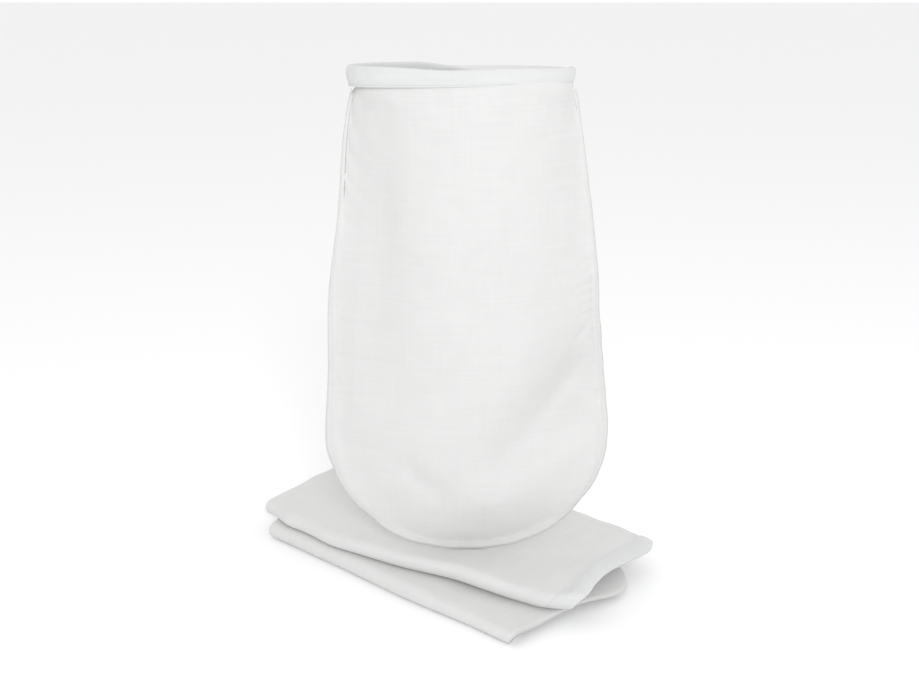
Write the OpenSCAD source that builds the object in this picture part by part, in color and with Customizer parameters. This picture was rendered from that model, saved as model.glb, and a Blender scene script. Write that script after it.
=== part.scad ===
// Dust collector filter bags: one open bag stood on two folded ones.
// +X right, +Y away from the front, +Z up; the floor is z = 0, under the open bag's centre line.
// Flat-bag coordinates: p along the bag from its round bottom, q across it, w through the cloth.

/* [Bag as cut] */

// Full width of the flat bag at its widest, seam edges included
flat_w = 350; // [290:5:420]
// Full width of the flat bag at the mouth
flat_mouth_w = 314; // [250:2:400]
// Length of the flat bag, bottom edge to mouth
flat_len = 610; // [500:5:740]
// Radius of the two bottom corners
corner_r = 90; // [50:5:110]
// Seam allowance left outside the stitches
flange_w = 12; // [8:1:16]
// Thickness of the filter cloth
cloth_t = 2; // [1:0.25:3]
// Height of the hem casing round the mouth
hem_h = 28; // [20:1:40]

/* [Open bag] */

// Width of the standing bag at its widest, seam edges included
open_w = 342; // [270:2:400]
// Height of the standing bag, bottom edge to top of the hem
open_h = 592; // [480:2:720]
// Width of the open mouth, seam to seam
mouth_w = 248; // [200:2:300]
// Depth of the open mouth, front to back
mouth_d = 124; // [90:2:160]
// Depth of the bag at its widest level
belly_d = 70; // [40:2:120]
// Height of the rounded bottom
bottom_h = 148; // [80:2:200]

/* [Folded bags] */

// Air left between neighbouring plies
ply_gap = 0.9; // [0.7:0.1:1.5]
// Turn of the upper bag about the vertical, degrees
upper_turn = -32.5; // [-45:0.5:0]
// Cloth of the upper bag turned under at its left end
upper_turned = 158; // [150:2:260]
// Hem end of the upper bag along its own length, at its long fold
upper_end = 146; // [60:2:220]
// Long fold of the upper bag across its own length
upper_side = -46; // [-90:2:-10]
// Offset of the upper bag's long fold from the middle of the cloth
upper_off = 29; // [0:1:60]
// Turn of the lower bag about the vertical, degrees
lower_turn = -36; // [-45:0.5:0]
// Cloth of the lower bag turned over at its left end
lower_turned = 206; // [150:2:260]
// Bottom end of the lower bag along its own length, at its long fold
lower_end = 126; // [60:2:220]
// Long fold of the lower bag across its own length
lower_side = -92; // [-130:2:-40]
// Offset of the lower bag's long fold from the middle of the cloth
lower_off = 48; // [0:1:60]
// Slant of the folded ends, run along the length per unit across
end_slant = 0.2; // [0:0.02:0.24]

/* [Thread, elastic and clearances] */

// Width of a line of stitching thread
thread_w = 0.8; // [0.5:0.1:1.5]
// Thickness of a line of stitching thread
thread_t = 0.5; // [0.3:0.1:1]
// Width of the elastic in the hem
elastic_w = 12; // [6:1:16]
// Thickness of the open bag's elastic
elastic_t = 2; // [1:0.25:3]
// Clearance between one bag and the next, and between two sewn panels
seat_gap = 0.3; // [0.2:0.1:0.5]
// Clearance of a thread line off the cloth it lies on
thread_gap = 0.3; // [0.2:0.1:0.5]

/* [Hidden] */

half_w = flat_w / 2;
half_mouth = flat_mouth_w / 2;
taper_from = corner_r + 60;
pitch = cloth_t + ply_gap;
bag_h = 7 * pitch + cloth_t;            // eight plies in one folded bag
long_arc = 3 * pitch * PI / 2;          // cloth used by half of the long fold
end_arc = pitch * PI / 2;               // cloth used by half of the end fold
lower_mid = bag_h / 2;
upper_mid = bag_h + seat_gap + bag_h / 2;
open_z = 2 * bag_h + 2 * seat_gap;      // bottom edge of the open bag

cloth_white = [0.93, 0.93, 0.92];
hem_white = [0.95, 0.95, 0.95];
thread_white = [0.98, 0.98, 0.97];
elastic_white = [0.85, 0.85, 0.83];

// ---- shared helpers ----

// Triangles of one quad.
function quad(a, b, c, d) = [[a, b, c], [a, c, d]];

// A closed or open run of equal sections, each a list of points, joined into one solid.
module run(stations, closed) {
    n = len(stations);
    k = len(stations[0]);
    last = closed ? n - 1 : n - 2;
    points = [for (s = stations) each s];
    sides = [for (i = [0:last]) for (j = [0:k - 1])
        let (i2 = (i + 1) % n, j2 = (j + 1) % k)
        each quad(i * k + j, i * k + j2, i2 * k + j2, i2 * k + j)];
    caps = closed ? [] : concat(
        [for (j = [1:k - 2]) [0, j + 1, j]],
        [for (j = [1:k - 2]) [(n - 1) * k, (n - 1) * k + j, (n - 1) * k + j + 1]]);
    polyhedron(points = points, faces = concat(sides, caps));
}

// A sheet from two equal grids of points, rows of equal length, joined round the rim.
module sheet(top, under) {
    rows = len(top);
    cols = len(top[0]);
    m = rows * cols;
    points = concat([for (r = top) each r], [for (r = under) each r]);
    faces = concat(
        [for (i = [0:rows - 2]) for (j = [0:cols - 2])
            let (a = i * cols + j) each quad(a, a + 1, a + cols + 1, a + cols)],
        [for (i = [0:rows - 2]) for (j = [0:cols - 2])
            let (a = m + i * cols + j) each quad(a, a + cols, a + cols + 1, a + 1)],
        [for (j = [0:cols - 2]) each quad(j, m + j, m + j + 1, j + 1)],
        [for (j = [0:cols - 2]) let (a = (rows - 1) * cols + j) each quad(a, a + 1, m + a + 1, m + a)],
        [for (i = [0:rows - 2]) let (a = i * cols) each quad(a, a + cols, m + a + cols, m + a)],
        [for (i = [0:rows - 2]) let (a = i * cols + cols - 1) each quad(a, m + a, m + a + cols, a + cols)]);
    polyhedron(points = points, faces = faces);
}

// ---- the flat bag ----

// Half width at p, drawn in by inset.
function half_at(p, inset) = let (t = max(0, min(1, (p - taper_from) / (flat_len - taper_from))))
    half_w - (half_w - half_mouth) * t * t * (3 - 2 * t) - inset;

// Lower edge of the flat bag at q, drawn in by inset.
function bottom_at(q, inset) = let (
    r = corner_r - inset,
    over = max(0, abs(q) - (half_w - corner_r)))
    inset + r - sqrt(max(0, r * r - over * over));

// ---- a folded bag: [turn, turned length, right end, side, fold offset, mouth at the right, mid height] ----

lower_fold = [lower_turn, lower_turned, lower_end, lower_side, lower_off, false, lower_mid];
upper_fold = [upper_turn, upper_turned, upper_end, upper_side, upper_off, true, upper_mid];

function ring_l(f) = f[2] + end_arc - flat_len + f[1];
function ring_c(f) = f[3] + bag_h / 2;

// Point of the folded bag for a point of the flat one.
function folded(f, p, q, w) = let (
    along = f[5] ? flat_len - p : p,
    s_c = q + f[4],
    s_l = f[2] - along + end_slant * s_c - ring_l(f) + end_arc,
    r = pitch + w,
    a_l = 90 * s_l / end_arc,
    l = s_l >= end_arc ? ring_l(f) + s_l - end_arc
        : s_l <= -end_arc ? ring_l(f) - s_l - end_arc : ring_l(f) - r * cos(a_l),
    rho = 2 * pitch + (s_l >= end_arc ? r : s_l <= -end_arc ? -r : r * sin(a_l)),
    a_c = 90 * s_c / long_arc,
    c = s_c >= long_arc ? ring_c(f) + s_c - long_arc
        : s_c <= -long_arc ? ring_c(f) - s_c - long_arc : ring_c(f) - rho * cos(a_c),
    z = s_c >= long_arc ? rho : s_c <= -long_arc ? -rho : rho * sin(a_c))
    [l * cos(f[0]) - c * sin(f[0]), l * sin(f[0]) + c * cos(f[0]), f[6] + z];

// Columns of the sheet: sines crowd them at the edges, even steps follow the long fold.
col_left = [for (a = [90:-15:15]) sin(a)];
col_fold = [for (i = [-4:4]) i / 4];
col_right = [for (a = [15:15:90]) sin(a)];
n_left = len(col_left);
n_fold = len(col_fold);
n_cols = n_left + n_fold + len(col_right);

// q of column j where the half width is h.
function column_q(f, j, h) = j < n_left ? let (e = -f[4] - long_arc) e - (e + h) * col_left[j]
    : j < n_left + n_fold ? -f[4] + long_arc * col_fold[j - n_left]
    : let (e = -f[4] + long_arc) e + (h - e) * col_right[j - n_left - n_fold];

row_main = [0, 0.15, 0.4, 0.6, 0.8];
row_fold = [for (i = [-3:3]) i / 3];
row_turned = [0.4, 0.75, 1];
n_rows = len(row_main) + len(row_fold) + len(row_turned);

// Distance from the right-hand end to the middle of the end fold, at q.
function fold_run(f, q) = f[2] + end_slant * (q + f[4]) - ring_l(f) + end_arc;

// Flat point [p, q] of row i and column j, drawn in by inset; the sheet stops short of the hem.
function cell(f, i, j, inset) = let (
    q0 = column_q(f, j, half_w - inset),
    low = bottom_at(q0, inset),
    high = flat_len - hem_h - 3 * seat_gap,
    start = f[5] ? flat_len - high : low,
    end = f[5] ? flat_len - low : high,
    p0 = f[5] ? flat_len - fold_run(f, q0) : fold_run(f, q0),
    mid = fold_run(f, column_q(f, j, half_at(p0, inset))),
    m = i < len(row_main) ? start + (mid - end_arc - start) * row_main[i]
        : i < len(row_main) + len(row_fold) ? mid + end_arc * row_fold[i - len(row_main)]
        : let (t = row_turned[i - len(row_main) - len(row_fold)])
            mid + end_arc + (end - mid - end_arc) * t,
    p = f[5] ? flat_len - m : m)
    [p, column_q(f, j, half_at(p, inset))];

// One panel of a folded bag; side 1 is the outer (front) panel, -1 the back one.
module folded_panel(f, side) {
    outer = side > 0 ? pitch / 2 + cloth_t / 2 : -pitch / 2 + cloth_t / 2;
    inner = outer - cloth_t;
    a = [for (i = [0:n_rows - 1]) [for (j = [0:n_cols - 1])
        let (g = cell(f, i, j, 0)) folded(f, g[0], g[1], outer)]];
    b = [for (i = [0:n_rows - 1]) [for (j = [0:n_cols - 1])
        let (g = cell(f, i, j, 0)) folded(f, g[0], g[1], inner)]];
    if (f[5]) sheet(b, a); else sheet(a, b);
}

// Row and column numbers round the sewn edge, mouth to mouth.
edge_cells = concat([for (i = [0:n_rows - 2]) [i, 0]], [for (j = [0:n_cols - 1]) [n_rows - 1, j]],
    [for (i = [n_rows - 2:-1:0]) [i, n_cols - 1]]);
edge_cells_lower = concat([for (i = [n_rows - 1:-1:1]) [i, 0]], [for (j = [0:n_cols - 1]) [0, j]],
    [for (i = [1:n_rows - 1]) [i, n_cols - 1]]);

// The stitching of a folded bag, where its threads lock between the two panels.
module folded_seam(f) {
    in0 = flange_w - 2 - thread_w / 2;
    in1 = in0 + thread_w;
    cells = f[5] ? edge_cells : edge_cells_lower;
    run([for (e = cells) let (
            g0 = cell(f, e[0], e[1], in0),
            g1 = cell(f, e[0], e[1], in1))
        [folded(f, g0[0], g0[1], -thread_t / 2), folded(f, g0[0], g0[1], thread_t / 2),
            folded(f, g1[0], g1[1], thread_t / 2), folded(f, g1[0], g1[1], -thread_t / 2)]], false);
}

// Middle and half thickness of one hem layer of a folded bag.
hem_out = pitch / 2 + cloth_t / 2;
hem_mid = (hem_out + seat_gap / 2) / 2;
hem_half = (hem_out - seat_gap / 2) / 2;
hem_slot = 0.4 * hem_half;

// Stations [q, w, out q, out w] once round the mouth of a folded bag.
function mouth_round(f) = let (
    front = [for (j = [0:n_cols - 1]) [column_q(f, j, half_mouth - hem_out - 1), hem_mid, 0, 1]],
    edge = half_mouth - hem_out - 1)
    concat(front,
        [for (a = [60, 30, 0, -30, -60]) [edge + hem_mid * cos(a), hem_mid * sin(a), cos(a), sin(a)]],
        [for (j = [n_cols - 1:-1:0]) [front[j][0], -hem_mid, 0, -1]],
        [for (a = [-120, -150, 180, 150, 120])
            [-edge + hem_mid * cos(a), hem_mid * sin(a), cos(a), sin(a)]]);

// A closed run round the mouth with a section of [out, along towards the mouth] points.
module folded_hem(f, section) {
    stations = [for (s = mouth_round(f)) [for (c = section)
        folded(f, flat_len - hem_h + c[1], s[0] + c[0] * s[2], s[1] + c[0] * s[3])]];
    run(stations, true);
}

hem_top = hem_half - hem_slot;
folded_hem_section = [[hem_half, 0], [hem_half, hem_h - 0.6], [hem_half - 0.6, hem_h],
    [-hem_half + 0.6, hem_h], [-hem_half, hem_h - 0.6], [-hem_half, 0], [-hem_slot, 0],
    [-hem_slot, hem_h - hem_top], [hem_slot, hem_h - hem_top], [hem_slot, 0]];
folded_elastic_t = hem_slot;
function box_section(t, low, high) = [[t / 2, low], [t / 2, high], [-t / 2, high], [-t / 2, low]];
elastic_low = hem_h - 4 - elastic_w;
folded_hem_thread = box_section(hem_slot, 3 - thread_w / 2, 3 + thread_w / 2);

// ---- the open bag ----

body_top = open_h - hem_h;              // where the hem casing starts
panel_top = open_h - 15;                // the panels end inside the casing
lap = seat_gap / 2 + cloth_t / 2;       // middle of a panel off the seam plane
seam_half = open_w / 2 - flange_w;
stub = 1.2;                             // seam allowance left inside the casing
bottom_power = 2.1;

function rise(z) = max(0, min(1, (z - bottom_h) / (body_top - bottom_h)));
function seam_at(z) = seam_half - (seam_half - mouth_w / 2) * pow(rise(z), 1.5);
function depth_at(z) = belly_d / 2 + (mouth_d - belly_d) / 2 * pow(rise(z), 1.2);
function low_at(u) = flange_w + (bottom_h - flange_w)
    * (1 - pow(max(0, 1 - pow(abs(u), bottom_power)), 1 / bottom_power));
function bulge(u, z) = let (
    h = min(1, max(0, z - low_at(u)) / (bottom_h * 0.9)),
    power = 0.8 - 0.3 * rise(z))
    depth_at(z) * pow(max(0, 1 - u * u), power) * pow(max(0, 1 - (1 - h) * (1 - h)), 0.6);

n_across = 26;
open_rows = concat([for (i = [0:18]) 1 - pow(1 - i / 18, 1.25)], [2, 3]);
n_up = len(open_rows);
function open_u(i) = sin(-90 + 180 * i / n_across);
function open_point(i, j) = let (
    u = open_u(i),
    z = open_rows[j] == 3 ? panel_top : open_rows[j] == 2 ? body_top - 2
        : low_at(u) + (body_top - 7 - low_at(u)) * open_rows[j])
    [u * seam_at(z), -lap - bulge(u, z), z];
open_grid = [for (j = [0:n_up - 1]) [for (i = [0:n_across]) open_point(i, j)]];

// Outward normal of the front panel at a grid point; flat along the seam.
function unit(v) = v / norm(v);
function open_normal(i, j) = i == 0 || i == n_across || j == 0 ? [0, -1, 0] : let (
    across = open_grid[j][i + 1] - open_grid[j][i - 1],
    up = open_grid[min(n_up - 1, j + 1)][i] - open_grid[j - 1][i])
    unit(cross(across, up));

// Grid numbers round the seam, mouth to mouth, and the seam's outward direction there.
seam_cells = concat([for (j = [n_up - 1:-1:0]) [0, j]], [for (i = [1:n_across - 1]) [i, 0]],
    [for (j = [0:n_up - 1]) [n_across, j]]);
n_seam = len(seam_cells);
seam_points = [for (c = seam_cells) let (g = open_grid[c[1]][c[0]]) [g[0], g[2]]];
function seam_out(k) = let (
    a = seam_points[max(0, k - 1)],
    b = seam_points[min(n_seam - 1, k + 1)],
    t = unit(b - a),
    inside_hem = seam_points[k][1] > body_top - 4)
    inside_hem ? [seam_points[k][0] > 0 ? 1 : -1, 0] : [t[1], -t[0]];
function seam_width(k) = seam_points[k][1] > body_top - 4 ? stub : flange_w;
function seam_offset(k, d) = seam_points[k] + seam_out(k) * d;

// The front panel: the bulging sheet and the flat seam allowance round it.
module open_panel() {
    m = n_up * (n_across + 1);
    face = [for (j = [0:n_up - 1]) for (i = [0:n_across])
        open_grid[j][i] + open_normal(i, j) * cloth_t / 2];
    back = [for (j = [0:n_up - 1]) for (i = [0:n_across])
        open_grid[j][i] - open_normal(i, j) * cloth_t / 2];
    rim = [for (k = [0:n_seam - 1]) seam_offset(k, seam_width(k))];
    rim_face = [for (r = rim) [r[0], -lap - cloth_t / 2, r[1]]];
    rim_back = [for (r = rim) [r[0], -lap + cloth_t / 2, r[1]]];
    function at(c) = c[1] * (n_across + 1) + c[0];
    top = (n_up - 1) * (n_across + 1);
    faces = concat(
        [for (j = [0:n_up - 2]) for (i = [0:n_across - 1])
            let (a = at([i, j])) each quad(a, a + n_across + 1, a + n_across + 2, a + 1)],
        [for (j = [0:n_up - 2]) for (i = [0:n_across - 1])
            let (a = m + at([i, j])) each quad(a, a + 1, a + n_across + 2, a + n_across + 1)],
        [for (k = [0:n_seam - 2]) let (a = at(seam_cells[k]), b = at(seam_cells[k + 1]))
            each quad(2 * m + k, a, b, 2 * m + k + 1)],
        [for (k = [0:n_seam - 2]) let (a = m + at(seam_cells[k]), b = m + at(seam_cells[k + 1]))
            each quad(2 * m + n_seam + k, 2 * m + n_seam + k + 1, b, a)],
        [for (k = [0:n_seam - 2])
            each quad(2 * m + k, 2 * m + k + 1, 2 * m + n_seam + k + 1, 2 * m + n_seam + k)],
        [for (i = [0:n_across - 1]) each quad(top + i, m + top + i, m + top + i + 1, top + i + 1)],
        quad(top, 2 * m, 2 * m + n_seam, m + top),
        quad(top + n_across, m + top + n_across, 2 * m + 2 * n_seam - 1, 2 * m + n_seam - 1));
    translate([0, 0, open_z])
        polyhedron(points = concat(face, back, rim_face, rim_back), faces = faces);
}

// A flat line of thread on the seam allowance, on the front (side 1) or the back (side -1).
module open_seam(side) {
    lay = flange_w / 4;
    last = n_seam - 3;
    strip = concat([for (k = [2:last]) seam_offset(k, lay)],
        [for (k = [last:-1:2]) seam_offset(k, lay + thread_w)]);
    start = seat_gap / 2 + cloth_t + thread_gap;
    translate([0, side > 0 ? -start : start + thread_t, open_z])
        rotate([90, 0, 0]) linear_extrude(height = thread_t) polygon(strip);
}

// A closed run round the open mouth with a section of [out, up] points.
module open_mouth(section) {
    n = 60;
    a = mouth_w / 2 + 0.3;
    b = mouth_d / 2 + lap;
    stations = [for (i = [0:n - 1]) let (t = -360 * i / n, out = unit([cos(t) / a, sin(t) / b]))
        [for (s = section)
            [a * cos(t) + s[0] * out[0], b * sin(t) + s[0] * out[1], open_z + body_top + s[1]]]];
    run(stations, true);
}

leg_in = cloth_t / 2 + 0.9;             // inside of the casing off the panel's middle
leg_out = leg_in + cloth_t;
puff = 1.8;                             // how far the casing swells above its stitching
open_casing_section = [[leg_out, 0], [leg_out + puff * 0.7, hem_h * 0.35], [leg_out + puff, hem_h * 0.65],
    [leg_out + puff * 0.4, hem_h * 0.86], [leg_out * 0.5, hem_h - 0.4], [0, hem_h],
    [-leg_out * 0.5, hem_h - 0.4],
    [-leg_out - puff * 0.4, hem_h * 0.86], [-leg_out - puff, hem_h * 0.65],
    [-leg_out - puff * 0.7, hem_h * 0.35], [-leg_out, 0], [-leg_in, 0],
    [-leg_in - puff * 0.7, hem_h * 0.35], [-leg_in - puff, hem_h * 0.65],
    [-leg_in - puff * 0.1, hem_h * 0.84], [0, hem_h - cloth_t - 0.3], [leg_in + puff * 0.1, hem_h * 0.84],
    [leg_in + puff, hem_h * 0.65], [leg_in + puff * 0.7, hem_h * 0.35], [leg_in, 0]];
open_elastic_low = hem_h - 15 + 1;
open_elastic_high = min(open_elastic_low + elastic_w, hem_h * 0.84);

// ---- named parts ----

module lower_front_panel() color(cloth_white) folded_panel(lower_fold, 1);
module lower_back_panel() color(cloth_white) folded_panel(lower_fold, -1);
module lower_hem_casing() color(hem_white) folded_hem(lower_fold, folded_hem_section);
module lower_hem_elastic() color(elastic_white)
    folded_hem(lower_fold, box_section(folded_elastic_t, elastic_low, elastic_low + elastic_w));
module lower_seam_thread() color(thread_white) folded_seam(lower_fold);
module lower_hem_thread() color(thread_white) folded_hem(lower_fold, folded_hem_thread);
module upper_front_panel() color(cloth_white) folded_panel(upper_fold, 1);
module upper_back_panel() color(cloth_white) folded_panel(upper_fold, -1);
module upper_hem_casing() color(hem_white) folded_hem(upper_fold, folded_hem_section);
module upper_hem_elastic() color(elastic_white)
    folded_hem(upper_fold, box_section(folded_elastic_t, elastic_low, elastic_low + elastic_w));
module upper_seam_thread() color(thread_white) folded_seam(upper_fold);
module upper_hem_thread() color(thread_white) folded_hem(upper_fold, folded_hem_thread);
module open_front_panel() color(cloth_white) open_panel();
module open_back_panel() color(cloth_white) mirror([0, 1, 0]) open_panel();
module open_hem_casing() color(hem_white) open_mouth(open_casing_section);
module open_hem_elastic() color(elastic_white)
    open_mouth(box_section(elastic_t, open_elastic_low, open_elastic_high));
module open_seam_needle_thread() color(thread_white) open_seam(1);
module open_seam_bobbin_thread() color(thread_white) open_seam(-1);
module open_hem_needle_thread() color(thread_white)
    open_mouth([for (s = box_section(thread_t, 3, 3 + thread_w)) [s[0] + leg_out + puff * 0.3
        + thread_gap + thread_t / 2, s[1]]]);
module open_hem_bobbin_thread() color(thread_white)
    open_mouth([for (s = box_section(thread_t, 3, 3 + thread_w)) [s[0] - leg_out - puff * 0.3
        - thread_gap - thread_t / 2, s[1]]]);

lower_front_panel();
lower_back_panel();
lower_hem_casing();
lower_hem_elastic();
lower_seam_thread();
lower_hem_thread();
upper_front_panel();
upper_back_panel();
upper_hem_casing();
upper_hem_elastic();
upper_seam_thread();
upper_hem_thread();
open_front_panel();
open_back_panel();
open_hem_casing();
open_hem_elastic();
open_seam_needle_thread();
open_seam_bobbin_thread();
open_hem_needle_thread();
open_hem_bobbin_thread();
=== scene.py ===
"""Cloth filter bags for a dust collector: one bag standing open on two folded ones.

Lengths are in metres in the row frame: +X right, +Y away from the front, +Z up, floor at z = 0.
Flat-bag coordinates are p along the bag from its round bottom, q across it and w through the cloth.
"""

import logging
import math
from dataclasses import dataclass, field
from enum import Enum

import bpy
import numpy as np
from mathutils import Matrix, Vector

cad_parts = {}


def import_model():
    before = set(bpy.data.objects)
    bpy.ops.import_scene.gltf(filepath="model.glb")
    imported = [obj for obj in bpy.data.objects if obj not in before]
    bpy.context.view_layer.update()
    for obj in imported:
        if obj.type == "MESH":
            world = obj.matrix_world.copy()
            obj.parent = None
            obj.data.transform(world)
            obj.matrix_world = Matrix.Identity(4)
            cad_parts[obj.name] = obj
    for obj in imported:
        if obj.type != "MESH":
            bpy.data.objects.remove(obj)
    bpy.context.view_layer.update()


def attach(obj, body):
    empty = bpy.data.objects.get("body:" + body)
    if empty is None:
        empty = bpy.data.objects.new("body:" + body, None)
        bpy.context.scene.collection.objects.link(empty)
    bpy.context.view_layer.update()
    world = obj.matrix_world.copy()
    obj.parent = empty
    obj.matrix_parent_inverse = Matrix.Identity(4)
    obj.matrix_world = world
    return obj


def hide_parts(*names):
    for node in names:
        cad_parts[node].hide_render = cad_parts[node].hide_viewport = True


LOG = logging.getLogger("filter_bags")
MM = 0.001


class Held(Enum):
    """How a sheet of cloth is held."""

    STANDING = "draped"
    FOLDED = "folded"


class Side(Enum):
    """The two panels of a bag; the value is the sign of the panel's outward direction."""

    FRONT = 1
    BACK = -1


# ---- small numeric helpers ----


def smooth(x: np.ndarray, low: float, high: float) -> np.ndarray:
    """Smooth step of x from 0 at low to 1 at high."""
    t = np.clip((x - low) / (high - low), 0.0, 1.0)
    return t * t * (3 - 2 * t)


def drift(x: np.ndarray, y: np.ndarray, wavelength: float, seed: int, waves: int = 7) -> np.ndarray:
    """Smooth seeded noise over a plane, about -1 to 1.

    Args:
        x, y: coordinates in metres, equal shapes.
        wavelength: the mean distance between crests.
        seed: fixed seed of the random directions and phases.
        waves: how many sine waves are added up.

    Returns:
        The noise at each point.
    """
    rng = np.random.default_rng(seed)
    total = np.zeros(np.broadcast(x, y).shape)
    for _ in range(waves):
        angle, phase = rng.uniform(0, 2 * math.pi, 2)
        k = 2 * math.pi / (wavelength * rng.uniform(0.7, 1.5))
        total += np.sin(k * (np.cos(angle) * x + np.sin(angle) * y) + phase)
    return total / math.sqrt(waves) / 1.4


def ease(x: np.ndarray, knots: tuple[tuple[float, float], ...]) -> np.ndarray:
    """A smooth run through (place, value) pairs given in millimetres; the result is in metres."""
    x = np.asarray(x, float)
    out = np.full(x.shape, knots[0][1] * MM)
    for (a, u), (b, v) in zip(knots, knots[1:]):
        out = out + (v - u) * MM * smooth(x, a * MM, b * MM)
    return out


def unit(v: np.ndarray) -> np.ndarray:
    """v scaled to length 1 along its last axis."""
    return v / np.maximum(np.linalg.norm(v, axis=-1, keepdims=True), 1e-12)


def finer(grid: np.ndarray, times: int, axis: int) -> np.ndarray:
    """A grid of points resampled by Catmull-Rom curves along one axis.

    Args:
        grid: points, rows by columns by 3.
        times: how many steps each old step becomes.
        axis: 0 for rows, 1 for columns.

    Returns:
        The finer grid; the old points stay in it.
    """
    g = np.moveaxis(grid, axis, 0)
    first, last = 2 * g[0] - g[1], 2 * g[-1] - g[-2]
    e = np.concatenate([first[None], g, last[None]])
    a, b, c, d = e[:-3], e[1:-2], e[2:-1], e[3:]
    parts = []
    for k in range(times):
        t = k / times
        parts.append(0.5 * (2 * b + (c - a) * t + (2 * a - 5 * b + 4 * c - d) * t**2
                            + (3 * b - a - 3 * c + d) * t**3))
    out = np.stack(parts, 1).reshape((-1, *g.shape[1:]))
    return np.moveaxis(np.concatenate([out, g[-1:]]), 0, axis)


def grid_normals(grid: np.ndarray) -> np.ndarray:
    """Unit normals of a grid of points, columns cross rows."""
    return unit(np.cross(np.gradient(grid, axis=1), np.gradient(grid, axis=0)))


# ---- mesh helpers ----


def new_mesh(name: str, points: np.ndarray, faces: list[tuple[int, ...]], material: bpy.types.Material,
             cloth_uv: np.ndarray | None = None) -> bpy.types.Object:
    """A mesh object at the origin, smooth shaded.

    Args:
        name: the object's name.
        points: n by 3 coordinates.
        faces: vertex numbers of each face, outwards.
        material: the finish.
        cloth_uv: n by 2 flat-cloth coordinates in metres for the weave, or None.

    Returns:
        The new object.
    """
    mesh = bpy.data.meshes.new(name)
    mesh.from_pydata(np.asarray(points, float).tolist(), [], faces)
    mesh.polygons.foreach_set("use_smooth", [True] * len(mesh.polygons))
    if cloth_uv is not None:
        corners = np.empty(len(mesh.loops), int)
        mesh.loops.foreach_get("vertex_index", corners)
        layer = mesh.uv_layers.new(name="cloth")
        layer.data.foreach_set("uv", np.asarray(cloth_uv, float)[corners].ravel())
    mesh.materials.append(material)
    mesh.validate()
    obj = bpy.data.objects.new(name, mesh)
    bpy.context.scene.collection.objects.link(obj)
    return obj


def grid_faces(rows: int, cols: int, start: int = 0, flip: bool = False) -> list[tuple[int, ...]]:
    """Quads of a grid of points numbered row by row from start."""
    faces = []
    for i in range(rows - 1):
        for j in range(cols - 1):
            a = start + i * cols + j
            quad = (a, a + 1, a + cols + 1, a + cols)
            faces.append(quad[::-1] if flip else quad)
    return faces


def sheet_between(name: str, outer: np.ndarray, inner: np.ndarray, flip: bool,
                  material: bpy.types.Material, uv: np.ndarray) -> bpy.types.Object:
    """A closed sheet of cloth between two equal grids of points.

    Args:
        name: the object's name.
        outer, inner: rows by columns by 3 grids of the two faces.
        flip: turns all faces over.
        material: the finish.
        uv: rows by columns by 2 flat coordinates.

    Returns:
        The new object.
    """
    rows, cols = outer.shape[:2]
    m = rows * cols
    faces = grid_faces(rows, cols, 0, flip) + grid_faces(rows, cols, m, not flip)
    rim = (list(range(cols)) + [i * cols + cols - 1 for i in range(1, rows)]
           + [(rows - 1) * cols + j for j in range(cols - 2, -1, -1)]
           + [i * cols for i in range(rows - 2, 0, -1)])
    for a, b in zip(rim, rim[1:] + rim[:1]):
        quad = (b, a, m + a, m + b)
        faces.append(quad[::-1] if flip else quad)
    points = np.concatenate([outer.reshape(-1, 3), inner.reshape(-1, 3)])
    flat = uv.reshape(-1, 2)
    return new_mesh(name, points, faces, material, np.concatenate([flat, flat]))


def ring_between(name: str, stations: np.ndarray, material: bpy.types.Material, flip: bool,
                 uv: np.ndarray) -> bpy.types.Object:
    """A closed run of equal closed sections, such as a hem round a mouth.

    Args:
        name: the object's name.
        stations: n by k by 3 points, n sections of k points.
        material: the finish.
        flip: turns all faces over.
        uv: n by k by 2 flat coordinates.

    Returns:
        The new object.
    """
    n, k = stations.shape[:2]
    faces = []
    for i in range(n):
        for j in range(k):
            a, b = i * k + j, i * k + (j + 1) % k
            c, d = (i + 1) % n * k + (j + 1) % k, (i + 1) % n * k + j
            faces.append((a, d, c, b) if flip else (a, b, c, d))
    return new_mesh(name, stations.reshape(-1, 3), faces, material, uv.reshape(-1, 2))


def applied(obj: bpy.types.Object) -> bpy.types.Object:
    """obj with its modifiers applied to its mesh."""
    graph = bpy.context.evaluated_depsgraph_get()
    mesh = bpy.data.meshes.new_from_object(obj.evaluated_get(graph))
    obj.modifiers.clear()
    old, obj.data = obj.data, mesh
    bpy.data.meshes.remove(old)
    return obj


# ---- finishes ----


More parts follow.
